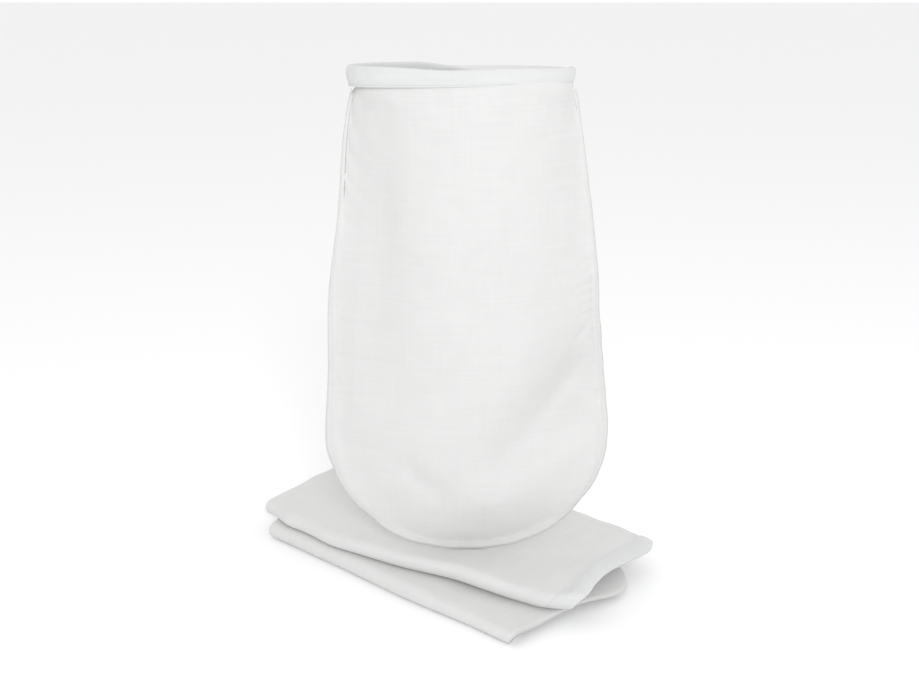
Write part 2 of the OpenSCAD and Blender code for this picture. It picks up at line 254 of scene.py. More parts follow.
@dataclass(frozen=True)
class ClothFinish:
    """Needled filter cloth: matt white with a fine scrim showing through and a soft nap."""

    name: str
    colour: tuple[float, float, float]
    scrim_step: float = 1.15 * MM
    scrim_depth: float = 0.16
    nap_depth: float = 0.30
    mottle: float = 0.022

    def build(self) -> bpy.types.Material:
        """Makes the material, its patterns read from the cloth's own UV map and Object coordinates."""
        mat = bpy.data.materials.new(self.name)
        mat.use_nodes = True
        nodes, links = mat.node_tree.nodes, mat.node_tree.links
        shader = nodes["Principled BSDF"]
        shader.inputs["Roughness"].default_value = 0.92
        shader.inputs["Specular IOR Level"].default_value = 0.18
        shader.inputs["Sheen Weight"].default_value = 0.18
        shader.inputs["Sheen Roughness"].default_value = 0.55
        place = nodes.new("ShaderNodeTexCoord")
        uv = nodes.new("ShaderNodeUVMap")
        uv.uv_map = "cloth"
        split = nodes.new("ShaderNodeSeparateXYZ")
        links.new(uv.outputs["UV"], split.inputs[0])
        scrim = nodes.new("ShaderNodeMath")
        scrim.operation = "MAXIMUM"
        for k, axis in enumerate(("X", "Y")):
            turn = nodes.new("ShaderNodeMath")
            turn.operation = "MULTIPLY"
            turn.inputs[1].default_value = 2 * math.pi / self.scrim_step
            links.new(split.outputs[axis], turn.inputs[0])
            wave = nodes.new("ShaderNodeMath")
            wave.operation = "SINE"
            links.new(turn.outputs[0], wave.inputs[0])
            links.new(wave.outputs[0], scrim.inputs[k])
        nap = nodes.new("ShaderNodeTexNoise")
        nap.inputs["Scale"].default_value = 900
        nap.inputs["Detail"].default_value = 3
        links.new(place.outputs["Object"], nap.inputs["Vector"])
        cloudy = nodes.new("ShaderNodeTexNoise")
        cloudy.inputs["Scale"].default_value = 42
        cloudy.inputs["Detail"].default_value = 5
        links.new(place.outputs["Object"], cloudy.inputs["Vector"])
        tone = cloudy.outputs["Fac"]
        for across, along in ((340, 14), (14, 340)):
            stretch = nodes.new("ShaderNodeMapping")
            stretch.inputs["Scale"].default_value = (across, along, 1)
            links.new(uv.outputs["UV"], stretch.inputs["Vector"])
            streak = nodes.new("ShaderNodeTexNoise")
            streak.inputs["Scale"].default_value = 1
            streak.inputs["Detail"].default_value = 2
            links.new(stretch.outputs["Vector"], streak.inputs["Vector"])
            blend = nodes.new("ShaderNodeMix")
            blend.inputs["Factor"].default_value = 0.42
            links.new(tone, blend.inputs["A"])
            links.new(streak.outputs["Fac"], blend.inputs["B"])
            tone = blend.outputs["Result"]
        ramp = nodes.new("ShaderNodeValToRGB")
        dark = tuple(c * (1 - self.mottle) for c in self.colour)
        light = tuple(min(1.0, c * (1 + self.mottle)) for c in self.colour)
        ramp.color_ramp.elements[0].position, ramp.color_ramp.elements[0].color = 0.38, (*dark, 1)
        ramp.color_ramp.elements[1].position, ramp.color_ramp.elements[1].color = 0.62, (*light, 1)
        links.new(tone, ramp.inputs["Fac"])
        links.new(ramp.outputs["Color"], shader.inputs["Base Color"])
        bump = nodes.new("ShaderNodeBump")
        bump.inputs["Strength"].default_value = self.scrim_depth
        bump.inputs["Distance"].default_value = 0.25 * MM
        links.new(scrim.outputs[0], bump.inputs["Height"])
        fuzz = nodes.new("ShaderNodeBump")
        fuzz.inputs["Strength"].default_value = self.nap_depth
        fuzz.inputs["Distance"].default_value = 0.35 * MM
        links.new(nap.outputs["Fac"], fuzz.inputs["Height"])
        links.new(bump.outputs["Normal"], fuzz.inputs["Normal"])
        links.new(fuzz.outputs["Normal"], shader.inputs["Normal"])
        return mat


@dataclass(frozen=True)
class PlainFinish:
    """One even colour, as on thread, elastic and the floor."""

    name: str
    colour: tuple[float, float, float]
    roughness: float
    specular: float = 0.3

    def build(self) -> bpy.types.Material:
        """Makes the material."""
        mat = bpy.data.materials.new(self.name)
        mat.use_nodes = True
        shader = mat.node_tree.nodes["Principled BSDF"]
        shader.inputs["Base Color"].default_value = (*self.colour, 1)
        shader.inputs["Roughness"].default_value = self.roughness
        shader.inputs["Specular IOR Level"].default_value = self.specular
        return mat


@dataclass
class Finishes:
    """Every material of the set, made once."""

    filter_cloth: bpy.types.Material = field(init=False)
    hem_cloth: bpy.types.Material = field(init=False)
    thread: bpy.types.Material = field(init=False)
    elastic: bpy.types.Material = field(init=False)
    floor: bpy.types.Material = field(init=False)

    def __post_init__(self) -> None:
        """Builds the materials."""
        self.filter_cloth = ClothFinish("filter_cloth", (0.655, 0.658, 0.648)).build()
        self.hem_cloth = ClothFinish("hem_cloth", (0.640, 0.642, 0.643)).build()
        self.thread = PlainFinish("thread", (0.66, 0.66, 0.65), 0.6).build()
        self.elastic = PlainFinish("elastic", (0.75, 0.75, 0.73), 0.7).build()
        self.floor = PlainFinish("pale_floor", (0.96, 0.96, 0.96), 0.95, 0.0).build()


# ---- stitches by geometry nodes ----


@dataclass
class Stitching:
    """A line of lockstitch: short rounded stitches laid end to end along a path."""

    step: float = 3.4 * MM
    length: float = 2.7 * MM
    thickness: float = 0.62 * MM

    def tree(self, material: bpy.types.Material) -> bpy.types.NodeTree:
        """The node tree that lays stitches on the edges of a mesh path.

        Args:
            material: the thread's finish.

        Returns:
            A tree with inputs Step, Length and Thickness.
        """
        tree = bpy.data.node_groups.new("stitch_line", "GeometryNodeTree")
        face = tree.interface
        face.new_socket("Geometry", in_out="INPUT", socket_type="NodeSocketGeometry")
        for name in ("Step", "Length", "Thickness"):
            face.new_socket(name, in_out="INPUT", socket_type="NodeSocketFloat")
        face.new_socket("Geometry", in_out="OUTPUT", socket_type="NodeSocketGeometry")
        add, link = tree.nodes.new, tree.links.new
        entry, leave = add("NodeGroupInput"), add("NodeGroupOutput")
        path, resample = add("GeometryNodeMeshToCurve"), add("GeometryNodeResampleCurve")
        resample.mode = "LENGTH"
        link(entry.outputs["Geometry"], path.inputs["Mesh"])
        link(path.outputs["Curve"], resample.inputs["Curve"])
        link(entry.outputs["Step"], resample.inputs["Length"])
        tangent, turn = add("GeometryNodeInputTangent"), add("FunctionNodeAlignRotationToVector")
        turn.axis = "X"
        link(tangent.outputs["Tangent"], turn.inputs["Vector"])
        bead = add("GeometryNodeMeshUVSphere")
        bead.inputs["Segments"].default_value = 6
        bead.inputs["Rings"].default_value = 4
        bead.inputs["Radius"].default_value = 0.5
        size = add("ShaderNodeCombineXYZ")
        link(entry.outputs["Length"], size.inputs["X"])
        link(entry.outputs["Thickness"], size.inputs["Y"])
        link(entry.outputs["Thickness"], size.inputs["Z"])
        lay = add("GeometryNodeInstanceOnPoints")
        link(resample.outputs["Curve"], lay.inputs["Points"])
        link(bead.outputs["Mesh"], lay.inputs["Instance"])
        link(turn.outputs["Rotation"], lay.inputs["Rotation"])
        link(size.outputs["Vector"], lay.inputs["Scale"])
        real, paint = add("GeometryNodeRealizeInstances"), add("GeometryNodeSetMaterial")
        paint.inputs["Material"].default_value = material
        link(lay.outputs["Instances"], real.inputs["Geometry"])
        link(real.outputs["Geometry"], paint.inputs["Geometry"])
        link(paint.outputs["Geometry"], leave.inputs["Geometry"])
        return tree

    def sew(self, name: str, line: np.ndarray, closed: bool, material: bpy.types.Material) -> bpy.types.Object:
        """Lays the stitches along a line of points.

        Args:
            name: the object's name.
            line: n by 3 points.
            closed: joins the last point to the first.
            material: the thread's finish.

        Returns:
            The stitches as one plain mesh.
        """
        count = len(line)
        edges = [(i, (i + 1) % count) for i in range(count if closed else count - 1)]
        mesh = bpy.data.meshes.new(name)
        mesh.from_pydata(np.asarray(line, float).tolist(), edges, [])
        obj = bpy.data.objects.new(name, mesh)
        bpy.context.scene.collection.objects.link(obj)
        tree = self.tree(material)
        modifier = obj.modifiers.new("stitches", "NODES")
        modifier.node_group = tree
        sizes = {"Step": self.step, "Length": self.length, "Thickness": self.thickness}
        for item in tree.interface.items_tree:
            if item.item_type == "SOCKET" and item.in_out == "INPUT" and item.name in sizes:
                modifier[item.identifier] = sizes[item.name]
        applied(obj)
        bpy.data.node_groups.remove(tree)
        obj.data.polygons.foreach_set("use_smooth", [True] * len(obj.data.polygons))
        return obj


# ---- the bag as cut ----


@dataclass
class BagCut:
    """The flat bag, before it is opened or folded. The names follow the CAD's sizes."""

    width: float = 350 * MM
    mouth: float = 314 * MM
    length: float = 610 * MM
    corner: float = 90 * MM
    allowance: float = 12 * MM
    hem: float = 28 * MM
    cloth: float = 1.7 * MM

    def half(self, p: np.ndarray, inset: float = 0.0) -> np.ndarray:
        """Half width at p, drawn in by inset."""
        t = smooth(p, self.corner + 60 * MM, self.length)
        return self.width / 2 - (self.width - self.mouth) / 2 * t - inset

    def bottom(self, q: np.ndarray, inset: float = 0.0) -> np.ndarray:
        """Lower edge at q, drawn in by inset."""
        r = self.corner - inset
        over = np.maximum(0.0, np.abs(q) - (self.width / 2 - self.corner))
        return inset + r - np.sqrt(np.maximum(0.0, r * r - over * over))

    def panel_area(self) -> float:
        """Area of one panel, in square metres."""
        q = np.linspace(-self.width / 2, self.width / 2, 2001)
        p = np.linspace(0, self.length, 2001)
        return float(np.mean(2 * self.half(p)) * self.length - np.mean(self.bottom(q)) * self.width)


def dress(obj: bpy.types.Object, body: str, slot: str, *nodes: str) -> bpy.types.Object:
    """Puts a finished piece on its body in place of its CAD nodes.

    Args:
        obj: the piece.
        body: the CAD body it rides on.
        slot: a material slot name; not used.
        nodes: the CAD nodes it stands for.

    Returns:
        The same piece.
    """
    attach(obj, body)
    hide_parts(*nodes)
    LOG.info("%s: %d faces on %s", obj.name, len(obj.data.polygons), body)
    return obj


# ---- the open bag ----


@dataclass
class OpenBag:
    """The bag that stands open on its round bottom, its mouth an oval."""

    cut: BagCut
    finishes: Finishes
    foot: float = 45.2 * MM
    height: float = 592 * MM
    width: float = 342 * MM
    mouth_half: float = 121 * MM
    mouth_deep: float = 61 * MM
    belly_deep: float = 42 * MM
    bottom_rise: float = 148 * MM
    bottom_power: float = 2.1
    across: int = 64
    up: int = 96
    settle_frames: int = 34
    hem: float = 23 * MM
    pressure: float = 22.0
    valley_place: tuple[float, float] = (148 * MM, 228 * MM)
    valley_depth: float = 1.8
    valley_long: float = 92 * MM
    valley_above: float = 33 * MM
    valley_below: float = 46 * MM
    pressed_flat: float = 0.92
    pressed_reach: float = 13 * MM
    slack: float = 32 * MM
    slack_level: float = 222 * MM
    stitch_out: float = 4.6 * MM

    @property
    def hem_base(self) -> float:
        """Height of the casing's lower edge above the bag's bottom edge."""
        return self.height - self.hem

    def climb(self, z: np.ndarray) -> np.ndarray:
        """0 at the widest level of the bag, 1 at the hem."""
        return np.clip((z - self.bottom_rise) / (self.hem_base - self.bottom_rise), 0.0, 1.0)

    def flange(self, z: np.ndarray) -> np.ndarray:
        """Width of the seam allowance that shows at height z."""
        return self.cut.allowance - 8.0 * MM * self.climb(z) ** 1.1

    def seam(self, z: np.ndarray) -> np.ndarray:
        """Half width of the seam at height z."""
        r = self.climb(z)
        edge = self.width / 2 - 42 * MM * r**1.5 - 4 * MM * r**12
        return edge - self.flange(z)

    def low(self, u: np.ndarray) -> np.ndarray:
        """Height of the bottom seam at u, from -1 to 1 across."""
        n = self.bottom_power
        curve = 1 - np.maximum(0.0, 1 - np.abs(u) ** n) ** (1 / n)
        return self.cut.allowance + (self.bottom_rise - self.cut.allowance) * curve

    def lattice(self) -> tuple[np.ndarray, np.ndarray]:
        """u across and z up of every grid point, rows by columns."""
        u = np.sin(np.linspace(-math.pi / 2, math.pi / 2, self.across + 1))
        v = 1 - (1 - np.linspace(0, 1, self.up + 1)) ** 1.15
        top = self.height - 14 * MM
        low = self.low(u)
        return np.tile(u, (self.up + 1, 1)), low[None] + (top - low[None]) * v[:, None]

    def first_shape(self, side: Side) -> np.ndarray:
        """One panel before the cloth settles: an even swell on a standing seam."""
        u, z = self.lattice()
        r = self.climb(z)
        h = np.clip((z - self.low(u)) / (self.bottom_rise * 0.9), 0, 1)
        deep = self.belly_deep + (self.mouth_deep - self.belly_deep) * r**1.2
        full = np.maximum(0.0, 1 - u * u) ** (1.25 - 0.75 * r**2.2)
        swell = deep * full * (1 - (1 - h) ** 2) ** 1.15
        lean = self.seam_sway(z)
        return np.stack([u * self.seam(z), lean - side.value * swell, z], -1)

    def seam_sway(self, z: np.ndarray) -> np.ndarray:
        """How far the seam wanders front to back, which both panels share."""
        return 2.2 * MM * np.sin(z / 0.085) * smooth(z, 0.05, 0.2) * (1 - smooth(z, 0.45, 0.56))

    def flat_shape(self, side: Side) -> np.ndarray:
        """The same panel laid flat, as cut, inside its seam."""
        u, z = self.lattice()
        stretch = (self.cut.length - self.cut.allowance) / self.height
        p = z * stretch
        wide = self.cut.half(p) - self.cut.allowance * 0.75
        return np.stack([u * wide, np.full_like(u, -side.value * MM), p], -1)

    def settle(self) -> dict[Side, np.ndarray]:
        """Lets both panels settle as cloth between the held seam and mouth.

        Returns:
            A grid of points for each panel.
        """
        start = {s: self.first_shape(s) for s in Side}
        points = np.concatenate([start[s].reshape(-1, 3) for s in Side])
        rows, cols = self.up + 1, self.across + 1
        faces = grid_faces(rows, cols) + grid_faces(rows, cols, rows * cols, True)
        cloth = new_mesh("settling_cloth", points, faces, self.finishes.filter_cloth)
        cloth.shape_key_add(name="Basis")
        rest = cloth.shape_key_add(name="as_cut")
        flat = np.concatenate([self.flat_shape(s).reshape(-1, 3) for s in Side])
        rest.data.foreach_set("co", flat.ravel())
        held = cloth.vertex_groups.new(name="held")
        number = np.arange(rows * cols).reshape(rows, cols)
        top = int(np.argmax(self.lattice()[1][:, cols // 2] > self.hem_base))
        edge = np.unique(np.concatenate([number[:, 0], number[:, -1], number[0], number[top:].ravel()]))
        held.add([int(n) for n in np.concatenate([edge, edge + rows * cols])], 1.0, "REPLACE")
        modifier = cloth.modifiers.new("cloth", "CLOTH")
        s = modifier.settings
        s.quality, s.mass, s.air_damping = 7, 0.25, 3.0
        s.tension_stiffness, s.compression_stiffness, s.shear_stiffness = 30.0, 22.0, 12.0
        s.bending_stiffness = 3.5
        s.vertex_group_mass = "held"
        s.use_pressure = True
        s.uniform_pressure_force = self.pressure
        s.rest_shape_key = rest
        s.effector_weights.gravity = 0.4
        modifier.collision_settings.use_collision = False
        scene = bpy.context.scene
        scene.frame_start, scene.frame_end = 1, self.settle_frames
        modifier.point_cache.frame_end = self.settle_frames
        for frame in range(1, self.settle_frames + 1):
            scene.frame_set(frame)
        graph = bpy.context.evaluated_depsgraph_get()
        done = cloth.evaluated_get(graph).to_mesh()
        co = np.empty(len(done.vertices) * 3)
        done.vertices.foreach_get("co", co)
        co = co.reshape(2, rows, cols, 3)
        scene.frame_set(1)
        bpy.data.objects.remove(cloth)
        moved = {s: co[k] for k, s in enumerate(Side)}
        for side in Side:
            far = np.abs(moved[side] - start[side]).max()
            LOG.info("%s panel settled by up to %.1f mm", side.name, far * 1000)
        return moved

    def creases(self, side: Side, x: np.ndarray, z: np.ndarray, near: np.ndarray) -> np.ndarray:
        """How far the settled cloth stands out or in at each point.

        Args:
            side: which panel.
            x, z: where the points are.
            near: distance from the seam.

        Returns:
            Offset along the outward normal.
        """
        seed = 11 if side is Side.FRONT else 23
        run = np.arctan2(z - 0.30, x)
        pucker = 0.9 * MM * np.exp(-near / (13 * MM)) * drift(run * 0.3, 0 * z, 17 * MM, seed, 9)
        under = self.hem_base - z
        gather = 0.55 * MM * drift(x, 0.25 * z, 15 * MM, seed + 3) * np.exp(-np.maximum(under, 0) / (22 * MM))
        broad = 1.3 * MM * drift(x, z, 150 * MM, seed + 1) + 0.45 * MM * drift(x, z, 62 * MM, seed + 2)
        inside = smooth(near, 0.0, 30 * MM)
        out = pucker * smooth(near, 0.0, 3 * MM) + (broad + gather) * inside
        if side is Side.FRONT:
            out = out + self.front_folds(x, z) * smooth(near, 0.0, 16 * MM)
        return out

    def front_folds(self, x: np.ndarray, z: np.ndarray) -> np.ndarray:
        """The front panel's own lasting folds."""
        def fold(cx: float, cz: float, angle: float, long: float, wide: float, rise: float) -> np.ndarray:
            """One soft ridge (or dent) with its middle at cx, cz, turned by angle degrees."""
            a = math.radians(angle)
            s = (x - cx) * math.cos(a) + (z - cz) * math.sin(a)
            t = -(x - cx) * math.sin(a) + (z - cz) * math.cos(a)
            return rise * np.exp(-((s / long) ** 2) - (t / wide) ** 2)

        return (fold(0.045, 0.135, 35, 0.050, 0.022, -5 * MM)
                + fold(-0.055, 0.108, -42, 0.042, 0.018, -5.0 * MM)
                + fold(-0.100, 0.42, 88, 0.170, 0.026, -6.5 * MM)
                + fold(-0.010, 0.40, 86, 0.180, 0.045, 6.0 * MM)
                + fold(0.040, 0.250, 50, 0.090, 0.035, 5.0 * MM)
                + fold(0.035, 0.085, 0, 0.060, 0.035, 6.0 * MM)
                + fold(0.143, 0.288, 45, 0.018, 0.005, -2.2 * MM)
                + fold(-0.045, 0.545, 118, 0.022, 0.005, -0.8 * MM)
                + fold(-0.060, 0.54, 112, 0.024, 0.005, -0.7 * MM)
                + fold(-0.030, 0.55, 124, 0.018, 0.005, -0.6 * MM))

    def panel_grid(self, side: Side, settled: np.ndarray) -> np.ndarray:
        """The settled panel with finer points, its creases and its place off the seam plane."""
        held = smooth(np.abs(self.lattice()[0]), 0.84, 0.98)[..., None]
        settled = settled * (1 - held) + self.first_shape(side) * held
        grid = finer(finer(settled, 2, 0), 2, 1)
        x, z = grid[..., 0], grid[..., 2]
        sway = self.seam_sway(z)
        if side is Side.FRONT:
            grid[..., 1] = sway + (grid[..., 1] - sway) * (1 - self.valley(x, z))
        beside = self.seam(z) - np.abs(x)
        snug = self.pressed_flat * np.exp(-np.maximum(beside, 0) / self.pressed_reach)
        snug = snug * (1 - smooth(z, self.hem_base - 24 * MM, self.hem_base))
        grid[..., 1] -= (grid[..., 1] - sway) * snug
        grid[..., 1] += self.fall_back(x, z)
        below = (z - np.interp(x, grid[0, :, 0], grid[0, :, 2])) * 0.9
        near = np.minimum(np.maximum(beside, 0), np.maximum(below, 0))
        calm = 1 - smooth(z, self.hem_base - 22 * MM, self.hem_base - 4 * MM)
        out = grid_normals(grid) * (1 if side is Side.FRONT else -1)
        rise = self.creases(side, x, z, near) * calm
        grid = grid + out * rise[..., None]
        gap = self.cut.cloth / 2 + 0.12 * MM
        grid[..., 0] += self.lean(grid[..., 0], grid[..., 2])
        grid[..., 1] -= side.value * gap
        grid[..., 2] += self.foot
        return grid

    def valley(self, x: np.ndarray, z: np.ndarray) -> np.ndarray:
        """Share of the front panel's swell that the slack valley takes away."""
        east, north = x - self.valley_place[0], z - self.valley_place[1]
        along, over = (east + north) / math.sqrt(2), (north - east) / math.sqrt(2)
        wide = np.where(over > 0, self.valley_above, self.valley_below)
        return self.valley_depth * np.exp(-((along / self.valley_long) ** 2) - (over / wide) ** 2)

    def fall_back(self, x: np.ndarray, z: np.ndarray) -> np.ndarray:
        """How far the slack right edge has dropped away from the front."""
        span = np.where(z > self.slack_level, 85 * MM, 50 * MM)
        return self.slack * smooth(x, 0.040, 0.165) * np.exp(-(((z - self.slack_level) / span) ** 2))

    def lean(self, x: np.ndarray, z: np.ndarray) -> np.ndarray:
        """How far the standing bag leans and bulges sideways."""
        right, left = smooth(x, 0.04, 0.15), smooth(-x, 0.04, 0.15)
        high = smooth(z, 0.26, 0.56)
        out = -6.5 * MM * high * right - 1.5 * MM * high * (1 - right) * (1 - left)
        out = out + right * (5.5 * MM * np.exp(-(((z - 0.175) / 0.075) ** 2))
                             - 2.0 * MM * np.exp(-(((z - 0.31) / 0.022) ** 2)))
        wave = np.cos(2 * math.pi * (z - 0.53) / 0.2) * smooth(z, 0.1, 0.2) * (1 - smooth(z, 0.54, 0.58))
        return out - left * 1.7 * MM * wave

    def build(self) -> None:
        """Makes and dresses every piece of the open bag."""
        settled = self.settle()
        nodes = {Side.FRONT: "open_front_panel", Side.BACK: "open_back_panel"}
        for side in Side:
            panel = self.build_panel(side, self.panel_grid(side, settled[side]))
            dress(panel, "open", "filter_cloth", nodes[side])
            self.cut.panel_area()
        self.build_hem()

    def seam_line(self, grid: np.ndarray) -> np.ndarray:
        """Points of the sewn edge, from the mouth down the left, along the bottom and up the right."""
        return np.concatenate([grid[::-1, 0], grid[0, 1:-1], grid[:, -1]])

    def out_of_seam(self, line: np.ndarray) -> tuple[np.ndarray, np.ndarray]:
        """Outward direction and width of the seam allowance at each point of the seam."""
        along = unit(np.gradient(line, axis=0))
        out = unit(np.stack([along[:, 2], np.zeros(len(line)), -along[:, 0]], -1))
        right, left = smooth(line[:, 0], 0.075, 0.13), smooth(-line[:, 0], 0.07, 0.12)
        back = np.radians(34) * (right * smooth(line[:, 2], 0.075, 0.12)
                                 + left * (1 - smooth(line[:, 2], 0.15, 0.20)))
        wave = 0.06 * drift(np.cumsum(np.linalg.norm(np.diff(line, axis=0, prepend=line[:1]), axis=1)),
                            0 * back, 45 * MM, 5)
        turn = back + wave
        out = out * np.cos(turn)[:, None]
        out[:, 1] = np.sin(turn)
        z = line[:, 2] - self.foot
        wide = self.flange(z) * (1 - smooth(z, self.hem_base - 9 * MM, self.hem_base - 1 * MM) * 0.75)
        return out, wide

    def build_panel(self, side: Side, grid: np.ndarray) -> bpy.types.Object:
        """One panel with its seam allowance, given its thickness."""
        rows, cols = grid.shape[:2]
        number = np.arange(rows * cols).reshape(rows, cols)
        loop = np.concatenate([number[::-1, 0], number[0, 1:-1], number[:, -1]])
        line = grid.reshape(-1, 3)[loop]
        out, wide = self.out_of_seam(line)
        steps = (0.3, 0.65, 1.0)
        strips = [line + out * (wide * s)[:, None] for s in steps]
        points = np.concatenate([grid.reshape(-1, 3), *strips])
        faces = grid_faces(rows, cols, 0, side is Side.BACK)
        inner = loop
        for k in range(len(steps)):
            outer = rows * cols + k * len(loop) + np.arange(len(loop))
            for i in range(len(loop) - 1):
                quad = (int(inner[i]), int(outer[i]), int(outer[i + 1]), int(inner[i + 1]))
                faces.append(quad[::-1] if side is Side.BACK else quad)
            inner = outer
        uv = np.concatenate([points[:, :1], points[:, 2:]], 1)
        panel = new_mesh(f"open_{side.name.lower()}_panel_cloth", points, faces,
                         self.finishes.filter_cloth, uv)
        thick = panel.modifiers.new("thickness", "SOLIDIFY")
        thick.thickness, thick.offset = self.cut.cloth, 0.0
        applied(panel)
        self.sew_seam(side, line, out)
        return panel

    def sew_seam(self, side: Side, line: np.ndarray, out: np.ndarray) -> None:
        """The seam's stitches on this side of the seam allowance."""
        face = unit(np.cross(out, unit(np.gradient(line, axis=0)))) * side.value
        face *= np.sign(face[:, 1:2]) * -side.value
        lay = line + out * self.stitch_out + face * (self.cut.cloth / 2 + 0.12 * MM)
        kind = "needle" if side is Side.FRONT else "bobbin"
        keep = lay[lay[:, 2] < self.foot + self.hem_base - 4 * MM]
        stitches = Stitching().sew(f"open_seam_{kind}_stitches", keep, False, self.finishes.thread)
        dress(stitches, "open", "thread", f"open_seam_{kind}_thread")

    # -- the hem --

    def mouth(self, turn: np.ndarray, section: np.ndarray, swell: bool) -> np.ndarray:
        """Points of a section swept round the mouth.

        Args:
            turn: angles round the mouth, 0 at the right, 90 degrees at the back.
            section: k by 2 of outward and upward offsets.
            swell: lets the casing's fullness vary round the mouth.

        Returns:
            n by k by 3 points.
        """
        a, b = self.mouth_half + 0.3 * MM, self.mouth_deep + self.cut.cloth / 2 + 0.12 * MM
        right = 0.5 + 0.5 * np.cos(turn)
        out = unit(np.stack([np.cos(turn) / a, np.sin(turn) / b], -1))
        s, t = section[:, 0], section[:, 1]
        up = t[None] + 0 * turn[:, None]
        full = np.clip(t / self.hem, 0, 1)
        ends = np.abs(np.cos(turn)) ** 10
        crest = smooth(full, 0.15, 0.6)
        grow = np.ones_like(up)
        if swell:
            arc = turn * 0.095
            puff = 0.12 * drift(arc[:, None] + 0.5 * up, up * 0.3, 26 * MM, 41)
            tight = np.exp(-(((full - 0.25) / 0.3) ** 2))[None]
            puff = puff + 0.10 * tight * drift(arc[:, None] + 0.8 * up, up, 8 * MM, 43)
            grow = 1 + crest[None] * (puff + 0.45 * ends[:, None] - 0.28)
            across, behind = np.cos(turn), np.sin(turn)
            sag = -2.5 * MM * right**3 - 7.5 * MM * smooth(across, -0.45, 0.15) * smooth(behind, 0.05, 0.5)
            sag = sag - 2.6 * MM * np.exp(-(((across + 0.12) / 0.3) ** 2)) * smooth(-behind, 0.0, 0.5)
            up = up + sag[:, None] * full[None] ** 2
        up = up + (3.0 * MM * right + 1.5 * MM * np.abs(np.sin(turn)))[:, None] * (1 - full[None])
        reach = s[None] * grow
        x = a * np.cos(turn)[:, None] + out[:, :1] * reach - 6.3 * MM
        y = b * np.sin(turn)[:, None] + out[:, 1:] * reach
        return np.stack([x, y, up + self.foot + self.hem_base], -1)

    def build_hem(self) -> None:
        """The casing, the elastic inside it and its two lines of stitches."""
        h = self.hem
        pinch = 2.6 * MM
        outer = np.array([[1.35, 0], [1.75, 0.5], [2.05, 1.5], [1.9, pinch / MM], [2.3, 3.9], [3.0, 6.2],
                          [3.5, 9.5], [3.7, 13.0], [3.6, 16.5], [3.1, 19.5], [2.1, 21.8], [0.9, 22.8]]) * MM
        inner = np.array([[0, 21.2], [1.2, 20.4], [2.0, 18.0], [2.2, 14.0], [2.1, 10.0], [1.6, 6.5],
                          [1.0, 4.2], [0.95, 2.2], [0.95, 0]]) * MM
        left = outer[::-1] * (-1, 1)
        hollow = np.concatenate([inner[::-1][:-1] * (-1, 1), inner])
        section = np.concatenate([outer, [[0, h]], left, hollow])
        turn = np.linspace(0, -2 * math.pi, 420, endpoint=False)
        ring = self.mouth(turn, section, True)
        arc = np.concatenate([[0], np.cumsum(np.linalg.norm(np.diff(ring[:, 0], axis=0), axis=1))])
        girth = np.concatenate([[0], np.cumsum(np.linalg.norm(np.diff(section, axis=0), axis=1))])
        uv = np.stack(np.broadcast_arrays(arc[:, None], girth[None]), -1)
        casing = ring_between("open_hem_casing_cloth", ring, self.finishes.hem_cloth, False, uv)
        dress(casing, "open", "hem_cloth", "open_hem_casing")
        band = np.array([[0.6, 9.0], [0.6, 18.0], [-0.6, 18.0], [-0.6, 9.0]]) * MM
        strip = self.mouth(turn[::2], band, False)
        elastic = ring_between("open_hem_elastic_band", strip, self.finishes.elastic, False,
                               np.zeros((*strip.shape[:2], 2)))
        dress(elastic, "open", "elastic", "open_hem_elastic")
        for kind, sign in (("needle", 1), ("bobbin", -1)):
            lay = np.array([[sign * 2.15 * MM, pinch]])
            line = self.mouth(turn, lay, False)[:, 0]
            stitches = Stitching().sew(f"open_hem_{kind}_stitches", line, True, self.finishes.thread)
            dress(stitches, "open", "thread", f"open_hem_{kind}_thread")


# ---- a folded bag ----


